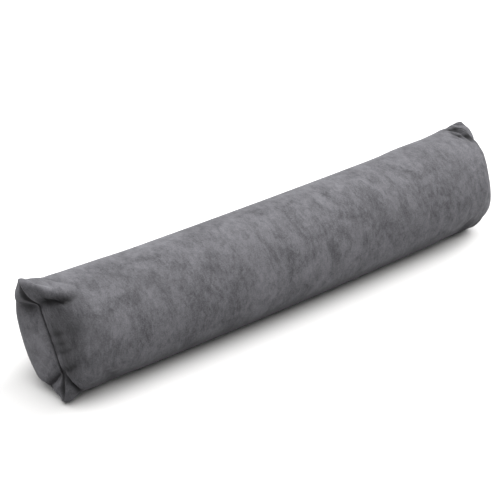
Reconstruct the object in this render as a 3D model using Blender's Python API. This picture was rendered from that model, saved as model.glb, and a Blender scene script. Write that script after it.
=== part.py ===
"""A long stuffed cushion that lies along the foot of a door and keeps draughts out.

It is one velvet cover, folded over its top edge, sewn along its lower edge and across both
ends, and stuffed until it is round. The end seams are shorter than the cloth between them, so
each end is a blunt cap of two lobes with the seam drawn in between, and an ear at either corner.
Each ear is parted from the cap by creases that start where the seam bends.

Metres, +Z up. +X runs along the cushion, -Y is its front. The origin is on the surface that it
lies on, below its middle.
"""

import math

import bpy
import numpy as np

MM = 0.001

# Driving sizes of the filled cushion.
BODY_RADIUS = 87.5 * MM
SEAM_FROM_MIDDLE = 427 * MM  # middle of each end seam, along X
AXIS_HEIGHT = 83.5 * MM  # less than the radius, so the underside lies flat
AXIS_BOW = 9 * MM  # the middle lies this much further forward than the ends
SEAM_ROLL = math.radians(26.8)  # the cover is rolled back this far about its length

# The cap at each end.
CAP_DEPTH = 29 * MM  # from the end seam in to the round body
CAP_SQUARENESS = 2.8  # 2 is an ellipse, more is blunter
SEAM_FORWARD = 19 * MM  # the seam crosses the cap this far in front of its middle
EAR_START = 50.5 * MM  # from the middle of an end seam to where the ears begin
EAR_GROWTH = 33 * MM  # over which the cap turns into an ear
# From the middle of an end seam down and up: each lobe keeps its height, then drops over the fade.
LOBE_REACH = {"near": (46 * MM, 52 * MM), "far": (46.5 * MM, 60 * MM)}
LOBE_FADE = {"near": (50 * MM, 38 * MM), "far": (42.5 * MM, 35 * MM)}
# For each end's lower and top ears, the length over which they fill out to the body, and the
# radius of their corners, seen from the front.
EAR_DEPTH = {"near": (37 * MM, 37 * MM), "far": (37 * MM, 53 * MM)}
EAR_ROUNDING = {"near": (14 * MM, 14 * MM), "far": (14 * MM, 6 * MM)}
EAR_CLOTH_REACH = 136 * MM  # cloth length over which the height drops from the ears to the body
LENS_SHARE = 0.25  # how much of a lens the section is at the seam, the rest being an ellipse

# How far each lobe of a cap, and the ears' own halves, stand out past the seam, in mm.
LOBE_BULGE = {
    # (end, face): cap, ears; the front face is 1 and the back face -1
    ("near", 1): (0, 3),
    ("near", -1): (15.5, -1.5),
    ("far", 1): (12, 3),
    ("far", -1): (11.5, 2),
}

# From the middle of each end seam to the tips of its lower and top ears.
EAR_REACH = {"near": (97 * MM, 105 * MM), "far": (92 * MM, 93.5 * MM)}

# Each end seam, as (height up the seam, way out along X from its middle), both in mm.
SEAM_LINE = {
    "near": (
        (-96, 6.5), (-85, 6.5), (-71, 4.5), (-53, 0), (0, 1), (54, 2), (61, 7.5), (68, 14), (75, 17.5),
        (83, 19), (96, 19),
    ),
    "far": ((-96, -2), (-78, -1), (-56, -1), (0, 0), (29, 8), (56, 20), (76, 24), (86, 26), (96, 30)),
}

# Sewn channels.
SEAM_CHANNEL = 2.4 * MM
SEAM_CHANNEL_WIDTH = 3.5 * MM
LONG_SEAM_CHANNEL = 2 * MM
LONG_SEAM_WIDTH = 3.5 * MM

# The strip of the underside that lies flat on the surface below.
REST_HALF_LENGTH = 400 * MM
REST_FRONT, REST_BACK = -22.5 * MM, 16.5 * MM  # its two edges, along Y
REST_CLEARANCE = 1 * MM  # height of the cloth next to it

# Mesh spacing.
COLUMN = 6.9 * MM  # across each of the two faces
CAP_ROW = 6.5 * MM
SEAM_STEPS = (0, 2.5 * MM, 6 * MM)  # the rows or columns next to a sewn channel
FINE_REACH = 146 * MM  # cloth from each end seam that has the close rows
MIDDLE_ROWS = 18

CREASE_SHARPNESS = 1.4  # the power in the fall-off of a crease; a ridge has 2
FOLD_WIDTH_LEAST = 8  # in mm; a narrower fold is drawn this wide, and lower in proportion

# Folds of the cloth. Points are (along, across, height) in millimetres of cloth: along is counted
# from the end seam, across from the middle of the face, plus towards the top edge. The height is
# minus for a crease.
FOLDS = (
    # end, face, half-width, points
    ("near", "front", 5,
     ((6, 56, -4), (36, 58, -7.5), (62, 61.5, -9.5), (85, 66, -9), (97, 65, -5), (104, 62, -1))),
    ("near", "front", 10,
     ((14, 104, 3), (24, 93, 5), (42, 83, 6), (64, 76, 6), (84, 73, 5), (104, 68, 2))),
    ("near", "front", 8, ((86, 116, -1.5), (103, 98, -2.5), (111, 84, -1.5))),
    ("near", "front", 6, ((4, -59, -4), (18, -65, -6), (33, -79, -6.5), (50, -96, -3), (60, -104, -1))),
    ("near", "front", 6, ((6, -52, -3), (26, -48, -4), (52, -44, -3), (76, -41, -1))),
    ("near", "front", 5, ((8, 7.5, -1.2), (28, 8, -1.6), (64, 9.5, -0.6))),
    ("near", "front", 5, ((8, -8, -1.2), (30, -6, -1.4), (50, -4.5, -0.8))),
    ("near", "front", 5, ((8, -20, -1.2), (30, -18, -1.8), (71, -14, -0.6))),
    ("near", "front", 12, ((68, 45, -2), (86, 25, -2), (97, 14, -1))),
    ("near", "front", 8, ((66, -96, 1.2), (105, -66, 1.2))),
    ("near", "front", 12, ((150, 80, -1.2), (166, 74, -1.5), (185, 70, -0.8))),
    ("near", "front", 18, ((66, 134, 1.2), (100, 137, 2), (140, 137, 1))),
    ("near", "back", 18, ((66, 134, 1.2), (100, 137, 2), (140, 137, 1))),
    ("near", "back", 9, ((6, 56.5, -3), (14, 56, -4), (24, 56, -2.5), (36, 55, -0.8))),
    ("near", "back", 6.5, ((6, -59, -3.5), (15, -66, -5), (24, -72, -3), (32, -76, -0.8))),
    ("far", "front", 6, ((65, 120, -2), (60, 109, -3), (60, 95, -4), (72, 76, -4), (86, 55, -2))),
    ("far", "front", 5, ((77, 108, -2), (79, 93, -3), (86, 76, -2))),
    ("far", "front", 5, ((98, 89.5, -1.5), (92, 58, -2))),
    ("far", "front", 18, ((68, 54, 2.5), (77, 38, 5), (80, 22, 3))),
    ("far", "front", 7, ((4, -66, -2), (20, -73, -3), (52, -93, -2))),
    ("far", "back", 9, ((4, 62, -3), (19, 58, -4.5), (48, 52, -2))),
    ("far", "back", 7, ((4, -60, -3), (19, -64, -4), (48, -72, -2))),
)


def ease(value):
    """0 below 0, 1 above 1, smooth between."""
    value = np.clip(value, 0.0, 1.0)
    return value * value * (3 - 2 * value)


def smooth_curve(position, points):
    """Heights of a smooth curve through the points, level where two neighbours are level."""
    knots, heights = np.array(points, dtype=float).T
    rises = np.diff(heights) / np.diff(knots)
    slopes = np.zeros(len(knots))
    both = rises[:-1] * rises[1:] > 0
    slopes[1:-1][both] = 2 / (1 / rises[:-1][both] + 1 / rises[1:][both])
    piece = np.clip(np.searchsorted(knots, position) - 1, 0, len(rises) - 1)
    span = knots[piece + 1] - knots[piece]
    way = np.clip((position - knots[piece]) / span, 0, 1)
    level = heights[piece] + (heights[piece + 1] - heights[piece]) * ease(way)
    lean_in = slopes[piece] * span * way * (1 - way) ** 2
    lean_out = slopes[piece + 1] * span * way**2 * (1 - way)
    return level + lean_in - lean_out


def end_profile(samples=240):
    """Cloth length from the end seam, with the way in along X and the rise from the seam."""
    turn = np.linspace(0.0, math.pi / 2, samples)
    rise = np.sin(turn) ** (2 / CAP_SQUARENESS)
    way_in = CAP_DEPTH * (1 - np.cos(turn) ** (2 / CAP_SQUARENESS))
    steps = np.hypot(np.diff(way_in), np.diff(rise) * BODY_RADIUS)
    return np.concatenate([[0.0], np.cumsum(steps)]), way_in, rise


PROFILE_CLOTH, PROFILE_IN, PROFILE_RISE = end_profile()
CAP_CLOTH = PROFILE_CLOTH[-1]
HALF_CLOTH = SEAM_FROM_MIDDLE - CAP_DEPTH + CAP_CLOTH
HALF_ACROSS = BODY_RADIUS * math.pi / 2


def quarter_round(way):
    """Height of a quarter circle that starts upright at 0 and is level from 1 on."""
    return np.sqrt(1 - (1 - np.clip(way, 0, 1)) ** 2)


def lower_to_top(sizes, share):
    """A size of the lower ear and of the top ear, and smooth between them."""
    lower, top = sizes
    return lower + (top - lower) * ease((share + 1) / 2)


def smooth_form(end, along, share, face):
    """Points of one half of the cushion before its folds, in its own frame.

    share runs from -1 at the lower edge to 1 at the top edge, and face is 1 in front and -1
    behind. Returned are the place along X, the height up the seam's plane and the depth in
    front of that plane.
    """
    angle = share * math.pi / 2
    to_seam = np.clip(1 - along / EAR_CLOTH_REACH, 0, 1) ** 2
    past_cap = np.clip(along / CAP_CLOTH, 0, 1)
    tip_flare = MM * np.where(share < 0, SEAM_LINE[end][0][1], SEAM_LINE[end][-1][1])
    from_tip = past_cap * (CAP_DEPTH + tip_flare)
    rounding = lower_to_top(EAR_ROUNDING[end], share)
    corner = rounding * (1 - quarter_round(from_tip / rounding))
    ear_reach = lower_to_top(EAR_REACH[end], share)
    reach = BODY_RADIUS + (ear_reach - BODY_RADIUS) * to_seam - corner
    lens = LENS_SHARE * to_seam
    up = reach * ((1 - lens) * np.sin(angle) + lens * share)
    flare = MM * smooth_curve(up / MM, SEAM_LINE[end])
    beyond = np.maximum(along - CAP_CLOTH, 0) + CAP_DEPTH
    in_middle = np.where(along < CAP_CLOTH, np.interp(along, PROFILE_CLOTH, PROFILE_IN), beyond)
    in_ear = np.where(along < CAP_CLOTH, past_cap * CAP_DEPTH, beyond)
    ear = ease((np.abs(up) - EAR_START) / EAR_GROWTH)
    way_in = in_middle + (in_ear - in_middle) * ear
    rise_middle = np.interp(along, PROFILE_CLOTH, PROFILE_RISE)
    rise_ear = quarter_round((in_ear + flare * past_cap) / lower_to_top(EAR_DEPTH[end], share))
    rise = rise_middle + (rise_ear - rise_middle) * ear
    cap_bulge, ear_bulge = LOBE_BULGE[end, face]
    full, fade = (np.where(up < 0, *sizes[end]) for sizes in (LOBE_REACH, LOBE_FADE))
    cap_share = 1 - ease((np.abs(up) - full) / fade)
    bulge = MM * (cap_bulge * cap_share + ear_bulge * ear)
    front = SEAM_FORWARD * (1 - rise) + face * BODY_RADIUS * np.cos(angle) * rise
    out = flare * (1 - past_cap) + bulge * np.sin(math.pi * rise) ** 1.4
    side = -1 if end == "near" else 1
    return side * (SEAM_FROM_MIDDLE - way_in + out), up, front


def placed(x, up, front):
    """Points of the cushion's own frame, rolled back, bowed and set at their height."""
    bow = AXIS_BOW * (1 - (x / SEAM_FROM_MIDDLE) ** 2)
    y = up * math.sin(SEAM_ROLL) - front * math.cos(SEAM_ROLL) - bow
    z = up * math.cos(SEAM_ROLL) + front * math.sin(SEAM_ROLL) + AXIS_HEIGHT
    return np.stack([x, y, z], axis=-1)


def fold_height(width, points, along, across):
    """Height of one fold over the cloth; a crease is sharper than a ridge."""
    best = np.full(np.shape(along), np.inf)
    height = np.zeros(np.shape(along))
    points = np.array(points, dtype=float) * MM
    for first, last in zip(points[:-1], points[1:]):
        step = last - first
        way = (along - first[0]) * step[0] + (across - first[1]) * step[1]
        way = np.clip(way / (step[0] ** 2 + step[1] ** 2), 0, 1)
        distance = np.hypot(along - first[0] - way * step[0], across - first[1] - way * step[1])
        height = np.where(distance < best, first[2] + way * step[2], height)
        best = np.minimum(best, distance)
    sharpness = np.where(height < 0, CREASE_SHARPNESS, 2.0)
    drawn_width = max(width, FOLD_WIDTH_LEAST)
    height = height * width / drawn_width
    return height * np.exp(-((best / (drawn_width * MM)) ** sharpness))


def relief(end, face, along, across):
    """Height of all folds and sewn channels over one face of one half."""
    at_tip = ease((np.abs(across) / HALF_ACROSS - 0.80) / 0.15)
    total = -SEAM_CHANNEL * np.exp(-((along / SEAM_CHANNEL_WIDTH) ** 2)) * (1 - at_tip)
    from_edge = across + HALF_ACROSS
    total = total - LONG_SEAM_CHANNEL * np.exp(-((from_edge / LONG_SEAM_WIDTH) ** 2))
    for fold_end, fold_face, width, points in FOLDS:
        if (fold_end, fold_face) == (end, face):
            total = total + fold_height(width, points, along, across)
    return total


def row_places():
    """Rows of the mesh from one end seam to the other: (end, cloth length from its seam)."""
    close = list(SEAM_STEPS) + list(np.arange(SEAM_STEPS[-1] + CAP_ROW, FINE_REACH, CAP_ROW))
    wide = np.linspace(close[-1], HALF_CLOTH, MIDDLE_ROWS // 2 + 1)[1:]
    half = close + list(wide)
    return [("near", along) for along in half] + [("far", along) for along in half[-2::-1]]


def column_shares():
    """Columns of one face from the sewn lower edge, at -1, to the folded top edge, at 1."""
    width = 2 * HALF_ACROSS
    rest = np.linspace(SEAM_STEPS[-1], width, round((width - SEAM_STEPS[-1]) / COLUMN) + 1)
    return np.concatenate([SEAM_STEPS[:-1], rest]) / HALF_ACROSS - 1


SHARES = column_shares()
COLUMNS = len(SHARES) - 1


def ring(end, along):
    """One row: the front face from its lower edge up, then the back face down again."""
    front = smooth_form(end, along, SHARES, 1)
    front_relief = relief(end, "front", along, SHARES * HALF_ACROSS)
    if along == 0:
        return placed(*front), front_relief
    back_shares = SHARES[-2:0:-1]
    back = smooth_form(end, along, back_shares, -1)
    back_relief = relief(end, "back", along, back_shares * HALF_ACROSS)
    points = np.concatenate([placed(*front), placed(*back)])
    return points, np.concatenate([front_relief, back_relief])


def ring_index(row_start, is_seam, column):
    """Mesh index of a column of a row; a seam row has the same corners for both faces."""
    column %= 2 * COLUMNS
    if is_seam and column > COLUMNS:
        column = 2 * COLUMNS - column
    return row_start + column


def cover_faces(rows):
    """Quads between each two rows, facing out."""
    starts, total = [], 0
    for points, _ in rows:
        starts.append(total)
        total += len(points)
    faces = []
    for row in range(len(rows) - 1):
        here, there = row == 0, row + 1 == len(rows) - 1
        for column in range(2 * COLUMNS):
            faces.append((
                ring_index(starts[row], here, column),
                ring_index(starts[row + 1], there, column),
                ring_index(starts[row + 1], there, column + 1),
                ring_index(starts[row], here, column + 1),
            ))
    return faces


def outward(points, faces):
    """Outward direction at each point of the mesh."""
    corners = points[np.array(faces)]
    across = np.cross(corners[:, 2] - corners[:, 0], corners[:, 3] - corners[:, 1])
    total = np.zeros_like(points)
    for corner in range(4):
        np.add.at(total, np.array(faces)[:, corner], across)
    return total / np.linalg.norm(total, axis=1, keepdims=True)


def laid_down(points):
    """Presses the underside flat where the cushion lies on the surface below."""
    x, y, z = points.T
    in_strip = (y > REST_FRONT) & (y < REST_BACK) & (np.abs(x) < REST_HALF_LENGTH)
    points[:, 2] = np.maximum(z, np.where(in_strip, 0.0, REST_CLEARANCE))
    return points


def velvet():
    material = bpy.data.materials.new("velvet")
    material.use_nodes = True
    shader = material.node_tree.nodes["Principled BSDF"]
    shader.inputs["Base Color"].default_value = (0.150, 0.150, 0.158, 1.0)
    shader.inputs["Roughness"].default_value = 0.9
    shader.inputs["Sheen Weight"].default_value = 0.4
    return material


def stuffed_cover():
    rows = [ring(end, along) for end, along in row_places()]
    faces = cover_faces(rows)
    points = np.concatenate([points for points, _ in rows])
    heights = np.concatenate([heights for _, heights in rows])
    points = laid_down(points + outward(points, faces) * heights[:, None])
    mesh = bpy.data.meshes.new("stuffed_cover")
    mesh.from_pydata(points.tolist(), [], faces)
    mesh.polygons.foreach_set("use_smooth", [True] * len(faces))
    mesh.materials.append(velvet())
    mesh.update()
    cover = bpy.data.objects.new("stuffed_cover", mesh)
    bpy.context.scene.collection.objects.link(cover)
    return cover


def main():
    for thing in list(bpy.data.objects):
        bpy.data.objects.remove(thing, do_unlink=True)
    stuffed_cover()


main()
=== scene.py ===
"""The dressed draught excluder: its velvet cover with folds, seams, nap and painted shading, over the
CAD frame.
"""

import math

import bpy
import numpy as np
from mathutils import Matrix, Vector


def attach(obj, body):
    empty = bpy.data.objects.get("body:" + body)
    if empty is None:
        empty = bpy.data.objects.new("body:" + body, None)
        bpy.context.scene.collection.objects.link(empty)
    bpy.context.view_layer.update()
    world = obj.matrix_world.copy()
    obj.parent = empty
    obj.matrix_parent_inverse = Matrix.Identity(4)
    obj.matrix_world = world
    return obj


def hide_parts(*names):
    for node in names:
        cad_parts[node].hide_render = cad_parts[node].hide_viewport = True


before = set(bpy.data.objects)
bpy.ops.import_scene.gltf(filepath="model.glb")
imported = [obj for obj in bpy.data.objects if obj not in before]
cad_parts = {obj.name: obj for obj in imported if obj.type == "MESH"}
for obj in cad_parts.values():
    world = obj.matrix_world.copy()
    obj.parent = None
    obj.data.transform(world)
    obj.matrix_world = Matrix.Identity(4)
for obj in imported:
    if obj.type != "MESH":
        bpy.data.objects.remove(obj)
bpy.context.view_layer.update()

MM = 0.001

SIDES = {"near": -1, "far": 1}  # which way along X each end lies

# ---- The cushion's form, with the names and values of the CAD part ----
BODY_RADIUS = 87.5 * MM
SEAM_FROM_MIDDLE = 427 * MM  # middle of each end seam, along X
AXIS_HEIGHT = 83.5 * MM
AXIS_BOW = 9 * MM  # the middle lies this much further forward than the ends
SEAM_ROLL = math.radians(26.8)  # the cover is rolled back this far about its length

# The cap at each end. A pair of sizes is for below and above the seam's middle.
CAP_DEPTH = 29 * MM  # from the end seam in to the round body
CAP_SQUARENESS = 2.8  # 2 is an ellipse, more is blunter
SEAM_FORWARD = 19 * MM  # the seam crosses the cap this far in front of its middle
EAR_START = 50.5 * MM  # from the middle of an end seam to where the ears begin
EAR_GROWTH = 33 * MM  # over which the cap turns into an ear
# Each lobe keeps its height over the reach, then drops over the fade.
LOBE_REACH = {"near": (46 * MM, 52 * MM), "far": (46.5 * MM, 60 * MM)}
LOBE_FADE = {"near": (50 * MM, 38 * MM), "far": (42.5 * MM, 35 * MM)}
# Of the ears: length over which they fill out, radius of the corner, tips from the seam's middle.
EAR_DEPTH = {"near": (37 * MM, 37 * MM), "far": (37 * MM, 53 * MM)}
EAR_ROUNDING = {"near": (14 * MM, 14 * MM), "far": (14 * MM, 6 * MM)}
EAR_REACH = {"near": (97 * MM, 105 * MM), "far": (92 * MM, 93.5 * MM)}
EAR_CLOTH_REACH = 136 * MM  # cloth length over which the height drops from the ears to the body
LENS_SHARE = 0.25  # how much of a lens the section is at the seam, the rest being an ellipse
LOBE_BULGE = {
    # (end, face): how far the cap and the ears stand out past the seam, in mm
    ("near", 1): (0, 3),
    ("near", -1): (15.5, -1.5),
    ("far", 1): (12, 3),
    ("far", -1): (11.5, 2),
}
BULGE_SHARPNESS = 1.4  # power of the bulge's curve, which is 0 at the seam and at the body

# Each end seam, as (height up the seam, way out along X from its middle), both in mm.
SEAM_LINE = {
    "near": (
        (-96, 6.5), (-85, 6.5), (-71, 4.5), (-53, 0), (0, 1), (54, 2), (61, 7.5), (68, 14), (75, 17.5),
        (83, 19), (96, 19),
    ),
    "far": ((-96, -2), (-78, -1), (-56, -1), (0, 0), (29, 8), (56, 20), (76, 24), (86, 26), (96, 30)),
}

# The strip of the underside that lies flat on the floor.
REST_HALF_LENGTH = 400 * MM
REST_FRONT, REST_BACK = -22.5 * MM, 16.5 * MM  # its two edges, along Y
REST_CLEARANCE = 1 * MM  # height of the cloth next to it

# ---- Cloth mesh ----
SEAM_STEPS = (0, 0.8 * MM, 1.6 * MM, 2.6 * MM, 4 * MM, 6 * MM)  # rows and columns next to a seam
CLOSE_STEP = 3 * MM  # between the rows near the ends
FINE_REACH = 150 * MM  # cloth from each end seam that has the close rows
MIDDLE_ROWS = 26
COLUMN = 3.3 * MM  # across each of the two faces

# ---- Sewn channels: depths and half-widths ----
SEAM_CHANNEL = 3.5 * MM
SEAM_CHANNEL_WIDTH = 1.3 * MM
CHANNEL_END = 0.80  # share of the way to a tip where an end seam's channel begins to fade
CHANNEL_FADE = 0.15  # share over which it is gone
LONG_SEAM_CHANNEL = 1.8 * MM
LONG_SEAM_WIDTH = 3.0 * MM

# ---- Folds ----
CREASE_SHARPNESS, RIDGE_SHARPNESS = 1.4, 2.0  # the powers in their fall-off
FOLD_AT_SEAM = 0.3  # share of a fold's height that is left at an end seam
FOLD_START = 6 * MM  # cloth from an end seam by which it has its full height

# Points are (along, across, height) in mm of cloth: along is counted from the end seam, across
# from the middle of the face, plus towards the top edge. The height is minus for a crease. The
# face is 1 in front and -1 behind.
FOLDS = (
    # end, face, half-width, points
    ("near", 1, 5,
     ((6, 56, -4), (36, 58, -7.5), (62, 60, -9.5), (80, 60, -9), (92, 62, -8), (102, 66, -5.5),
      (111, 70, -2.5), (118, 74, -0.8))),
    ("near", 1, 10, ((14, 104, 3), (24, 93, 5), (42, 83, 6), (64, 76, 6), (84, 75, 5), (104, 78, 2))),
    ("near", 1, 8, ((86, 116, -1.5), (103, 98, -2.5), (111, 84, -1.5))),
    ("near", 1, 6, ((4, -59, -4), (18, -65, -6), (33, -79, -6.5), (50, -96, -3), (60, -104, -1))),
    ("near", 1, 6, ((6, -52, -3), (26, -48, -4), (52, -44, -3), (76, -41, -1))),
    ("near", 1, 5, ((8, 7.5, -1.8), (28, 8, -2.4), (64, 9.5, -0.8))),
    ("near", 1, 5, ((8, -8, -1.8), (30, -6, -2.2), (50, -4.5, -1))),
    ("near", 1, 5, ((8, -20, -1.8), (30, -18, -2.8), (71, -14, -0.8))),
    ("near", 1, 12, ((68, 45, -2), (86, 25, -2), (97, 14, -1))),
    ("near", 1, 8, ((66, -96, 1.2), (105, -66, 1.2))),
    ("near", 1, 12, ((150, 80, -1.2), (166, 74, -1.5), (185, 70, -0.8))),
    ("near", 1, 18, ((66, 134, 1.2), (100, 137, 2), (140, 137, 1))),
    ("near", -1, 18, ((66, 134, 1.2), (100, 137, 2), (140, 137, 1))),
    ("near", -1, 9, ((6, 56.5, -3), (14, 56, -4), (24, 56, -2.5), (36, 55, -0.8))),
    ("near", -1, 6.5, ((6, -59, -4.5), (15, -66, -6.5), (24, -72, -4.5), (32, -76, -1.2))),
    ("near", 1, 13, ((2, -128, 3), (22, -124, 3), (52, -118, 1))),
    ("near", -1, 13, ((2, -128, 4), (22, -124, 4), (52, -118, 1))),
    ("far", 1, 16, ((22, 137, 1.5), (45, 137, 4), (85, 137, 1))),
    ("far", -1, 16, ((22, 137, 1.5), (45, 137, 4), (85, 137, 1))),
    ("far", 1, 6, ((65, 120, -2.5), (60, 109, -4.5), (60, 95, -6), (72, 76, -5.5), (86, 55, -2))),
    ("far", 1, 5, ((77, 108, -3), (79, 93, -4.5), (86, 76, -3))),
    ("far", 1, 5, ((98, 89.5, -1.5), (92, 58, -2))),
    ("far", 1, 18, ((68, 54, 2.5), (77, 38, 5), (80, 22, 3))),
    ("far", 1, 7, ((4, -66, -2), (20, -73, -3), (52, -93, -2))),
    ("far", -1, 9, ((4, 62, -3), (19, 58, -4.5), (48, 52, -2))),
    ("far", -1, 7, ((4, -60, -3), (19, -64, -4), (48, -72, -2))),
)

# ---- Painted shading ----
# Painted shade and painted light: where the cloth is painted darker or lighter in place of shade
# and light, in the same columns, the height being the change in brightness in percent. The first
# rows are the creases and painted shades of the ends, the last ones of the body.
PAINTED_SHADING = (
    # end, face, half-width, points
    ("near", 1, 24, ((20, 34, -16), (26, 20, -44), (34, 0, -38), (34, -26, -54), (40, -42, -48))),
    ("near", 1, 18, ((62, 36, -12), (70, 20, -26), (72, -20, -24))),
    ("near", 1, 22,
     ((48, 20, -14), (66, 14, -22), (94, 12, -40), (108, -4, -40), (116, -22, -26), (86, -40, -18))),
    ("near", 1, 11, ((8, 60, -46), (34, 59, -68), (66, 58, -70), (90, 58, -78), (104, 60, -44))),
    ("near", 1, 9, ((15, 112, -24), (8, 100, -40), (14, 92, -48), (26, 86, -30))),
    ("near", 1, 12, ((44, 104, -16), (70, 98, -14))),
    ("near", -1, 15, ((4, 72, -30), (16, 54, -58), (34, 60, -48))),
    ("near", -1, 9, ((6, -56, -60), (14, -58, -66), (28, -72, -60))),
    ("near", 1, 11, ((8, -66, -56), (34, -82, -68), (56, -104, -34))),
    ("near", 1, 6, ((8, -48, -44), (32, -46, -52), (62, -40, -30))),
    ("near", 1, 3.5, ((6, 9, -26), (30, 9, -36), (60, 11, -16))),
    ("near", 1, 3.5, ((6, -7, -26), (32, -5, -36), (56, -3, -16))),
    ("near", 1, 3.5, ((6, -20, -24), (32, -18, -34), (66, -14, -14))),
    ("near", 1, 12, ((140, 84, -12), (164, 75, -20), (190, 70, -12))),
    ("near", -1, 30, ((40, 20, 14), (40, -30, 10))),
    ("far", 1, 14, ((40, 116, -30), (60, 108, -28), (64, 84, -12), (80, 60, -6))),
    ("far", 1, 5, ((64, 122, -50), (51, 112, -80), (42, 104, -70))),
    ("far", 1, 8, ((42, 94, -60), (54, 81, -80), (70, 68, -60))),
    ("far", 1, 4, ((88, 98, -60), (74, 90, -80), (64, 80, -70))),
    ("far", 1, 13, ((66, -75, -34), (72, -30, -34), (75, 10, -34), (68, 45, -30), (36, 66, -24))),
    ("far", 1, 22, ((98, 44, 10), (106, 0, 12))),
    ("far", 1, 20, ((140, 40, -16), (147, 20, -16), (176, -20, 10))),
    ("near", 1, 34, ((222, 44, -22), (250, 26, -22))),
    ("near", 1, 34, ((364, 25, -18), (391, 15, -18), (418, 44, -16))),
    ("far", 1, 28, ((440, 4, -8), (350, 8, -18), (300, -12, -20), (240, -24, -10))),
)
# Painted shade in the creases, darker the deeper they are.
CREASE_SHADE = 5  # percent darker for each mm of a crease's depth
# The seams: their darker thread, and painted shade of the grooves they are sewn in.
SEAM_SHADE = 90  # percent darker in the seams
SEAM_SHADE_WIDTH = 2.5 * MM
# Painted shade low on the front by the long seam, where the floor shades the underside; less of it on
# the ears.
LOW_SHADE = 85  # percent darker low on the front, by the long seam
LOW_SHADE_WIDTH = 52 * MM
LOW_SHADE_SQUARENESS = 4  # how suddenly it ends
EAR_LOW_SHADE = 0.3  # share of that shade on the ears
LOW_SHADE_START = 25 * MM  # cloth from each end seam where it begins to grow to its full
LOW_SHADE_GROWTH = 50 * MM
PAINTED_SHADING_LEAST, PAINTED_SHADING_MOST = 0.1, 1.3  # limits of the brightness, where 1 is the plain cloth

# ---- Velvet ----
PATTERNS = {
    # name: coordinates, scale, detail, roughness, swirl, stretch, turn in degrees
    "clouds": ("Object", 17, 3, 0.65, 0.9, (1, 1, 1), 0),
    "brushed": ("UV", 42, 4, 0.7, 0.8, (1, 0.6, 1), 35),
    "strokes": ("UV", 170, 3, 0.7, 0.6, (1, 0.5, 1), -20),
    "grain": ("Object", 520, 2, 0.7, 0, (1, 1, 1), 0),
}
FINE_SHARE = 0.46  # of the strokes and grain in the colour, the rest being clouds and brushed
BUMP_STROKES = 0.6  # share of the strokes in the bump, the rest being grain
BUMP_STRENGTH = 0.35
BUMP_DISTANCE = 0.6 * MM
VELVET_RAMP = (
    # pattern value, colour
    (0.40, (0.0335, 0.0331, 0.0363, 1)),
    (0.60, (0.0925, 0.0912, 0.0990, 1)),
)
VELVET_FINISH = {
    "Roughness": 0.92,
    "Specular IOR Level": 0.15,
    "Sheen Weight": 0.08,
    "Sheen Roughness": 0.45,
    "Sheen Tint": (0.80, 0.80, 0.86, 1),
}

# ---- How the cloth settles ----
SETTLING = {
    # settings of Blender's cloth, in its own units
    "quality": 5,
    "mass": 0.15,
    "air_damping": 1.0,
    "tension_stiffness": 20,
    "compression_stiffness": 5,
    "shear_stiffness": 5,
    "bending_stiffness": 0.2,
    "pin_stiffness": 5,
    "use_pressure": True,
    "uniform_pressure_force": 2.0,
    "shrink_min": -0.03,
}
SETTLE_FRAMES = 20
SETTLE_REACH = 200 * MM  # cloth from each end seam that may settle
SETTLE_FADE = 60 * MM  # over which it is held more and more past that
HELD_AT_SEAM = 4 * MM  # how near a seam the cloth is held
HELD_BELOW = 3.5 * MM  # height under which the cloth is held
SWELL_ROUNDS = 60  # of evening out, which leave the swell and take out the wrinkles
WRINKLE_MOST = 4 * MM  # furthest that a wrinkle moves a point
NO_MOVE = 1e-9  # keeps the share finite where nothing moved
EAR_WRINKLES = 0.5  # share of the wrinkles that is kept by the top edge of the near half
LOW_WRINKLES = 0.2  # share of them that is kept next to the long seam
LOW_WRINKLES_START = 15 * MM  # from the long seam to where they begin to grow to their full
LOW_WRINKLES_GROWTH = 50 * MM

# ---- Floor, light and camera: angles in degrees, azimuth 0 in front and plus to the right ----
FLOOR_HALF = 15
FLOOR_COLOUR = (0.47, 0.467, 0.465, 1)
WORLD_COLOUR = (1, 1, 1, 1)
WORLD_STRENGTH = 0.05
SUNS = (
    # name, azimuth, elevation, strength, width
    ("soft_top", 0, 90, 5.6, 110),
    ("right_window", 90, 32, 4.6, 40),
    ("back_fill", 180, 35, 0.6, 60),
    ("front_fill", 0, 60, 2.2, 60),
)
CAMERA_AZIMUTH = -39.53
CAMERA_ELEVATION = 28.58
CAMERA_DISTANCE = 2.4586
CAMERA_SENSOR = 36  # mm, as the lens
CAMERA_LENS = 110.29
CAMERA_SHIFT = (-0.0454, -0.0015)
CAMERA_TARGET = (0, 0, 0.0873)


def ease(value):
    """0 below 0, 1 above 1, smooth between."""
    value = np.clip(value, 0.0, 1.0)
    return value * value * (3 - 2 * value)


def quarter_round(way):
    """Height of a quarter circle that starts upright at 0 and is level from 1 on."""
    return np.sqrt(1 - (1 - np.clip(way, 0, 1)) ** 2)


def smooth_curve(position, points):
    """Heights of a smooth curve through the points, level where two neighbours are level."""
    knots, heights = np.array(points, dtype=float).T
    rises = np.diff(heights) / np.diff(knots)
    slopes = np.zeros(len(knots))
    both = rises[:-1] * rises[1:] > 0
    slopes[1:-1][both] = 2 / (1 / rises[:-1][both] + 1 / rises[1:][both])
    piece = np.clip(np.searchsorted(knots, position) - 1, 0, len(rises) - 1)
    span = knots[piece + 1] - knots[piece]
    way = np.clip((position - knots[piece]) / span, 0, 1)
    level = heights[piece] + (heights[piece + 1] - heights[piece]) * ease(way)
    lean_in = slopes[piece] * span * way * (1 - way) ** 2
    lean_out = slopes[piece + 1] * span * way**2 * (1 - way)
    return level + lean_in - lean_out


def end_profile(samples=240):
    """Cloth length from the end seam, with the way in along X and the rise from the seam."""
    turn = np.linspace(0.0, math.pi / 2, samples)
    rise = np.sin(turn) ** (2 / CAP_SQUARENESS)
    way_in = CAP_DEPTH * (1 - np.cos(turn) ** (2 / CAP_SQUARENESS))
    steps = np.hypot(np.diff(way_in), np.diff(rise) * BODY_RADIUS)
    return np.concatenate([[0.0], np.cumsum(steps)]), way_in, rise


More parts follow.
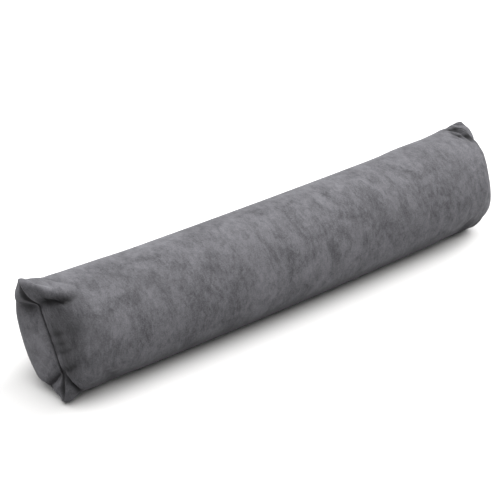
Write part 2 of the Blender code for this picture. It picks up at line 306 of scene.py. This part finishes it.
PROFILE_CLOTH, PROFILE_IN, PROFILE_RISE = end_profile()
CAP_CLOTH = PROFILE_CLOTH[-1]
HALF_CLOTH = SEAM_FROM_MIDDLE - CAP_DEPTH + CAP_CLOTH
HALF_ACROSS = BODY_RADIUS * math.pi / 2


def lower_to_top(sizes, share):
    """A size of the lower ear and of the top ear, and smooth between them."""
    lower, top = sizes
    return lower + (top - lower) * ease((share + 1) / 2)


def smooth_form(end, along, share, face):
    """Points of one half before its folds: place along X, height up the seam, depth in front.

    share runs from -1 at the lower edge to 1 at the top edge, and face is 1 in front and -1 behind.
    """
    angle = share * math.pi / 2
    to_seam = np.clip(1 - along / EAR_CLOTH_REACH, 0, 1) ** 2
    past_cap = np.clip(along / CAP_CLOTH, 0, 1)
    tip_flare = MM * np.where(share < 0, SEAM_LINE[end][0][1], SEAM_LINE[end][-1][1])
    from_tip = past_cap * (CAP_DEPTH + tip_flare)
    rounding = lower_to_top(EAR_ROUNDING[end], share)
    corner = rounding * (1 - quarter_round(from_tip / rounding))
    ear_reach = lower_to_top(EAR_REACH[end], share)
    reach = BODY_RADIUS + (ear_reach - BODY_RADIUS) * to_seam - corner
    lens = LENS_SHARE * to_seam
    up = reach * ((1 - lens) * np.sin(angle) + lens * share)
    flare = MM * smooth_curve(up / MM, SEAM_LINE[end])
    beyond = np.maximum(along - CAP_CLOTH, 0) + CAP_DEPTH
    in_middle = np.where(along < CAP_CLOTH, np.interp(along, PROFILE_CLOTH, PROFILE_IN), beyond)
    in_ear = np.where(along < CAP_CLOTH, past_cap * CAP_DEPTH, beyond)
    ear = ease((np.abs(up) - EAR_START) / EAR_GROWTH)
    way_in = in_middle + (in_ear - in_middle) * ear
    rise_middle = np.interp(along, PROFILE_CLOTH, PROFILE_RISE)
    rise_ear = quarter_round((in_ear + flare * past_cap) / lower_to_top(EAR_DEPTH[end], share))
    rise = rise_middle + (rise_ear - rise_middle) * ear
    cap_bulge, ear_bulge = LOBE_BULGE[end, face]
    full, fade = (np.where(up < 0, *sizes[end]) for sizes in (LOBE_REACH, LOBE_FADE))
    cap_share = 1 - ease((np.abs(up) - full) / fade)
    bulge = MM * (cap_bulge * cap_share + ear_bulge * ear)
    front = SEAM_FORWARD * (1 - rise) + face * BODY_RADIUS * np.cos(angle) * rise
    out = flare * (1 - past_cap) + bulge * np.sin(math.pi * rise) ** BULGE_SHARPNESS
    return SIDES[end] * (SEAM_FROM_MIDDLE - way_in + out), up, front


def placed(x, up, front):
    """Points of the cushion's own frame, rolled back, bowed and set at their height."""
    bow = AXIS_BOW * (1 - (x / SEAM_FROM_MIDDLE) ** 2)
    y = up * math.sin(SEAM_ROLL) - front * math.cos(SEAM_ROLL) - bow
    z = up * math.cos(SEAM_ROLL) + front * math.sin(SEAM_ROLL) + AXIS_HEIGHT
    return np.stack([x, y, z], axis=-1)


def fold_height(width, points, along, across):
    """Height of one fold over the cloth; a crease is sharper than a ridge."""
    best = np.full(np.shape(along), np.inf)
    height = np.zeros(np.shape(along))
    points = np.array(points, dtype=float) * MM
    for first, last in zip(points[:-1], points[1:]):
        step = last - first
        way = (along - first[0]) * step[0] + (across - first[1]) * step[1]
        way = np.clip(way / (step[0] ** 2 + step[1] ** 2), 0, 1)
        distance = np.hypot(along - first[0] - way * step[0], across - first[1] - way * step[1])
        height = np.where(distance < best, first[2] + way * step[2], height)
        best = np.minimum(best, distance)
    sharpness = np.where(height < 0, CREASE_SHARPNESS, RIDGE_SHARPNESS)
    return height * np.exp(-((best / (width * MM)) ** sharpness))


class Cloth:
    """The grid of cloth points: where each is on the cloth, and which faces join them.

    A row is a ring round the body, up the front face and down the back one. The first and last
    rows are the end seams, where both faces share their points.
    """

    def __init__(self):
        width = 2 * HALF_ACROSS
        rest = np.linspace(SEAM_STEPS[-1], width, round((width - SEAM_STEPS[-1]) / COLUMN) + 1)
        shares = np.concatenate([SEAM_STEPS[:-1], rest]) / HALF_ACROSS - 1
        close = list(SEAM_STEPS) + list(np.arange(SEAM_STEPS[-1] + CLOSE_STEP, FINE_REACH, CLOSE_STEP))
        wide = np.linspace(close[-1], HALF_CLOTH, MIDDLE_ROWS // 2 + 1)[1:]
        half = np.array(close + list(wide))
        self.columns = len(shares) - 1
        rows = [(-1, along) for along in half] + [(1, along) for along in half[-2::-1]]
        sides, alongs, ring_shares, faces, starts = [], [], [], [], []
        for side, along in rows:
            starts.append(len(alongs))
            ring = list(shares) if along == 0 else list(shares) + list(shares[-2:0:-1])
            sides += [side] * len(ring)
            alongs += [along] * len(ring)
            ring_shares += ring
            faces += [1] * len(shares) + [-1] * (len(ring) - len(shares))
        self.side, self.along = np.array(sides), np.array(alongs, dtype=float)
        self.share, self.face = np.array(ring_shares, dtype=float), np.array(faces)
        self.across = self.share * HALF_ACROSS
        self.from_long_seam = self.across + HALF_ACROSS
        self.quads, self.uvs = self.join(rows, starts)
        self.loops = np.array(self.quads)

    def join(self, rows, starts):
        """Quads that face out, and for each corner its place on the cloth, in metres."""
        quads, uvs = [], []
        turn = 2 * self.columns
        for row in range(len(rows) - 1):
            for column in range(turn):
                corners, places = [], []
                for down, right in ((0, 0), (1, 0), (1, 1), (0, 1)):
                    side, from_seam = rows[row + down]
                    start = starts[row + down]
                    place = (column + right) % turn
                    if from_seam == 0 and place > self.columns:
                        place = turn - place
                    corners.append(start + place)
                    over = self.share[start + min(place, turn - place)]
                    over = over if column < self.columns else 2 - over
                    places.append((side * (HALF_CLOTH - from_seam), over))
                quads.append(corners)
                uvs.append([(u, v * HALF_ACROSS) for u, v in places])
        return quads, uvs

    def on(self, end, face):
        """Which points are on a face of one half."""
        return (self.side == SIDES[end]) & (self.face == face)

    def points(self):
        """Every point of the smooth form."""
        result = np.zeros((len(self.along), 3))
        for end in SIDES:
            for face in (1, -1):
                mine = self.on(end, face)
                form = smooth_form(end, self.along[mine], self.share[mine], face)
                result[mine] = placed(*form)
        return result

    def normals(self, points):
        """Outward direction at each point."""
        corners = points[self.loops]
        across = np.cross(corners[:, 2] - corners[:, 0], corners[:, 3] - corners[:, 1])
        total = np.zeros_like(points)
        for corner in range(4):
            np.add.at(total, self.loops[:, corner], across)
        return total / np.linalg.norm(total, axis=1, keepdims=True)

    def evened_out(self, moves, rounds):
        """Moves of the points, each round averaged with those of their neighbours."""
        edges = np.concatenate([self.loops[:, (corner, (corner + 1) % 4)] for corner in range(4)])
        first, last = np.unique(np.sort(edges, axis=1), axis=0).T
        count = len(moves)
        shares = 1 + np.bincount(first, minlength=count) + np.bincount(last, minlength=count)
        moves = moves.copy()
        for _ in range(rounds):
            for axis in range(3):
                own = moves[:, axis]
                around = np.bincount(first, own[last], count) + np.bincount(last, own[first], count)
                moves[:, axis] = (own + around) / shares
        return moves

    def folds(self):
        """Height of the folds at each point."""
        total = np.zeros(len(self.along))
        for end, face, width, points in FOLDS:
            in_seam = (self.side == SIDES[end]) & (self.along == 0)
            mine = self.on(end, face) | in_seam
            total[mine] += fold_height(width, points, self.along[mine], self.across[mine])
        return total * (FOLD_AT_SEAM + (1 - FOLD_AT_SEAM) * ease(self.along / FOLD_START))

    def nap_and_painted_shading(self, folds):
        """Brightness painted on the cloth at each point: painted shade in the creases, along the seams
        and low on the front, and painted darker and lighter patches.
        """
        # Painted shade in the creases.
        total = 100 + CREASE_SHADE * np.minimum(folds / MM, 0)
        # Painted shade and painted light of the listed patches.
        for end, face, width, points in PAINTED_SHADING:
            mine = self.on(end, face)
            change = fold_height(width, points, self.along[mine], self.across[mine])
            total[mine] += change / MM
        # Darker thread and painted shade along the end seams and the long seam.
        for from_seam in (self.along, self.from_long_seam):
            total -= SEAM_SHADE * np.exp(-((from_seam / SEAM_SHADE_WIDTH) ** 2))
        # Painted shade low on the front, next to the floor, fading on the ears.
        past_ears = ease((self.along - LOW_SHADE_START) / LOW_SHADE_GROWTH)
        low = np.exp(-((self.from_long_seam / LOW_SHADE_WIDTH) ** LOW_SHADE_SQUARENESS))
        low *= (self.face > 0) * (EAR_LOW_SHADE + (1 - EAR_LOW_SHADE) * past_ears)
        total -= LOW_SHADE * low
        return np.clip(total / 100, PAINTED_SHADING_LEAST, PAINTED_SHADING_MOST)

    def channels(self):
        """Height of the sewn channels at each point."""
        at_tip = ease((np.abs(self.share) - CHANNEL_END) / CHANNEL_FADE)
        end_seams = SEAM_CHANNEL * np.exp(-((self.along / SEAM_CHANNEL_WIDTH) ** 2)) * (1 - at_tip)
        long_seam = LONG_SEAM_CHANNEL * np.exp(-((self.from_long_seam / LONG_SEAM_WIDTH) ** 2))
        return -end_seams - long_seam


def simulated(cover, held):
    """Places of the cover's points after its filling has pressed the cloth out for a moment.

    held is 1 for a point that stays where it is and 0 for a free one.
    """
    group = cover.vertex_groups.new(name="held")
    for index, share in enumerate(held):
        group.add([index], float(share), "REPLACE")
    settling = cover.modifiers.new("settling", "CLOTH")
    for name, value in SETTLING.items():
        setattr(settling.settings, name, value)
    settling.settings.vertex_group_mass = group.name
    settling.settings.effector_weights.gravity = 0
    settling.collision_settings.use_collision = False
    settling.point_cache.frame_end = SETTLE_FRAMES
    for moment in range(1, SETTLE_FRAMES + 1):
        bpy.context.scene.frame_set(moment)
    graph = bpy.context.evaluated_depsgraph_get()
    places = np.empty(3 * len(held))
    cover.evaluated_get(graph).data.vertices.foreach_get("co", places)
    cover.modifiers.remove(settling)
    cover.vertex_groups.remove(group)
    bpy.context.scene.frame_set(1)
    return places.reshape(-1, 3)


def settled(cover, cloth, points):
    """The points with the wrinkles of the simulated cloth, but without its swell."""
    seams = np.exp(-((np.minimum(cloth.along, cloth.from_long_seam) / HELD_AT_SEAM) ** 2))
    middle = np.clip((cloth.along - SETTLE_REACH) / SETTLE_FADE, 0, 1)
    held = np.maximum.reduce([seams, middle, np.where(points[:, 2] < HELD_BELOW, 1.0, 0.0)])
    moves = simulated(cover, held) - points
    wrinkles = moves - cloth.evened_out(moves, SWELL_ROUNDS)
    size = np.linalg.norm(wrinkles, axis=1)
    share = np.minimum(1, WRINKLE_MOST / np.maximum(size, NO_MOVE))
    in_ear = ease((cloth.across - EAR_START) / EAR_GROWTH) * (cloth.side == SIDES["near"])
    share *= 1 - (1 - EAR_WRINKLES) * in_ear
    above = ease((cloth.from_long_seam - LOW_WRINKLES_START) / LOW_WRINKLES_GROWTH)
    share *= 1 - (1 - LOW_WRINKLES) * (1 - above)
    return laid_down(points + wrinkles * share[:, None])


def laid_down(points):
    """Presses the underside flat where the cushion lies on the floor."""
    x, y, z = points.T
    in_strip = (y > REST_FRONT) & (y < REST_BACK) & (np.abs(x) < REST_HALF_LENGTH)
    points[:, 2] = np.maximum(z, np.where(in_strip, 0.0, REST_CLEARANCE))
    return points


def new_material(name):
    """A material with its node tree and its shader."""
    material = bpy.data.materials.new(name)
    material.use_nodes = True
    tree = material.node_tree
    return material, tree, tree.nodes["Principled BSDF"]


def velvet_material():
    """Short-napped grey velvet: cloudy patches where the nap lies differently, fine fibre grain, and
    the base colour scaled by the painted shading kept on the cover's points.
    """
    material, tree, shader = new_material("velvet")
    nodes, links = tree.nodes, tree.links
    place = nodes.new("ShaderNodeTexCoord")

    def pattern(name):
        source, scale, detail, roughness, swirl, stretch, turn = PATTERNS[name]
        mapping = nodes.new("ShaderNodeMapping")
        mapping.inputs["Scale"].default_value = stretch
        mapping.inputs["Rotation"].default_value = (0, 0, math.radians(turn))
        texture = nodes.new("ShaderNodeTexNoise")
        texture.inputs["Scale"].default_value = scale
        texture.inputs["Detail"].default_value = detail
        texture.inputs["Roughness"].default_value = roughness
        texture.inputs["Distortion"].default_value = swirl
        links.new(place.outputs[source], mapping.inputs["Vector"])
        links.new(mapping.outputs["Vector"], texture.inputs["Vector"])
        return texture.outputs["Fac"]

    def mixed(first, second, share):
        mix = nodes.new("ShaderNodeMix")
        mix.inputs["Factor"].default_value = share
        links.new(first, mix.inputs["A"])
        links.new(second, mix.inputs["B"])
        return mix.outputs["Result"]

    clouds, brushed, strokes, grain = (pattern(name) for name in PATTERNS)
    nap_and_painted_shading = mixed(mixed(clouds, brushed, 0.5), mixed(strokes, grain, 0.5), FINE_SHARE)
    ramp = nodes.new("ShaderNodeValToRGB")
    for element, (position, colour) in zip(ramp.color_ramp.elements, VELVET_RAMP):
        element.position = position
        element.color = colour
    links.new(nap_and_painted_shading, ramp.inputs["Fac"])
    # The base colour is scaled by the painted shade and painted light kept on the cover's points.
    painted_shading_input = nodes.new("ShaderNodeAttribute")
    painted_shading_input.attribute_name = "nap_and_painted_shading"
    shade = nodes.new("ShaderNodeVectorMath")
    shade.operation = "SCALE"
    links.new(ramp.outputs["Color"], shade.inputs["Vector"])
    links.new(painted_shading_input.outputs["Fac"], shade.inputs["Scale"])
    links.new(shade.outputs["Vector"], shader.inputs["Base Color"])
    bump = nodes.new("ShaderNodeBump")
    bump.inputs["Strength"].default_value = BUMP_STRENGTH
    bump.inputs["Distance"].default_value = BUMP_DISTANCE
    links.new(mixed(grain, strokes, BUMP_STROKES), bump.inputs["Height"])
    links.new(bump.outputs["Normal"], shader.inputs["Normal"])
    for name, value in VELVET_FINISH.items():
        shader.inputs[name].default_value = value
    return material


def stuffed_cover():
    """The velvet cover as one closed skin with its folds and sewn channels."""
    cloth = Cloth()
    points = cloth.points()
    folds = cloth.folds()
    points = points + cloth.normals(points) * folds[:, None]
    points = points + cloth.normals(points) * cloth.channels()[:, None]
    points = laid_down(points)
    mesh = bpy.data.meshes.new("velvet_cover")
    mesh.from_pydata(points.tolist(), [], cloth.quads)
    layer = mesh.uv_layers.new(name="cloth")
    layer.data.foreach_set("uv", np.array(cloth.uvs, dtype=np.float32).ravel())
    # Painted shade and painted light of each point, which scales the velvet's base colour.
    nap_and_painted_shading = mesh.attributes.new("nap_and_painted_shading", "FLOAT", "POINT")
    nap_and_painted_shading.data.foreach_set("value", cloth.nap_and_painted_shading(folds).astype(np.float32))
    mesh.polygons.foreach_set("use_smooth", [True] * len(mesh.polygons))
    mesh.materials.append(velvet_material())
    mesh.update()
    cover = bpy.data.objects.new("velvet_cover", mesh)
    bpy.context.scene.collection.objects.link(cover)
    mesh.vertices.foreach_set("co", settled(cover, cloth, points).ravel())
    mesh.update()
    rounded = cover.modifiers.new("rounded", "SUBSURF")
    rounded.levels = 1
    rounded.render_levels = 1
    return cover


def floor():
    """A plain pale floor."""
    mesh = bpy.data.meshes.new("floor")
    corners = [(x * FLOOR_HALF, y * FLOOR_HALF, 0) for x, y in ((-1, -1), (1, -1), (1, 1), (-1, 1))]
    mesh.from_pydata(corners, [], [(0, 1, 2, 3)])
    material, _, shader = new_material("pale_floor")
    shader.inputs["Base Color"].default_value = FLOOR_COLOUR
    shader.inputs["Roughness"].default_value = 1.0
    shader.inputs["Specular IOR Level"].default_value = 0.0
    mesh.materials.append(material)
    thing = bpy.data.objects.new("floor", mesh)
    bpy.context.scene.collection.objects.link(thing)


def back_direction(azimuth, elevation):
    """From the target towards a camera or light."""
    a, e = math.radians(azimuth), math.radians(elevation)
    return Vector((math.sin(a) * math.cos(e), -math.cos(a) * math.cos(e), math.sin(e)))


def sun(name, azimuth, elevation, strength, width):
    """A soft light as wide as the angle given."""
    light = bpy.data.lights.new(name, "SUN")
    light.energy = strength
    light.angle = math.radians(width)
    lamp = bpy.data.objects.new(name, light)
    lamp.rotation_euler = back_direction(azimuth, elevation).to_track_quat("Z", "Y").to_euler()
    bpy.context.scene.collection.objects.link(lamp)


def studio():
    """A faint even glow and four soft lights."""
    world = bpy.data.worlds.new("studio")
    bpy.context.scene.world = world
    world.use_nodes = True
    background = world.node_tree.nodes["Background"]
    background.inputs["Color"].default_value = WORLD_COLOUR
    background.inputs["Strength"].default_value = WORLD_STRENGTH
    for row in SUNS:
        sun(*row)
    bpy.context.scene.view_settings.view_transform = "Standard"


def camera():
    """The camera at the photo's angle."""
    data = bpy.data.cameras.new("camera")
    data.sensor_width = CAMERA_SENSOR
    data.lens = CAMERA_LENS
    data.shift_x, data.shift_y = CAMERA_SHIFT
    thing = bpy.data.objects.new("camera", data)
    back = back_direction(CAMERA_AZIMUTH, CAMERA_ELEVATION)
    thing.location = Vector(CAMERA_TARGET) + back * CAMERA_DISTANCE
    thing.rotation_euler = back.to_track_quat("Z", "Y").to_euler()
    bpy.context.scene.collection.objects.link(thing)
    bpy.context.scene.camera = thing


cover = stuffed_cover()
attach(cover, "root")
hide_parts("stuffed_cover")
floor()
studio()
camera()
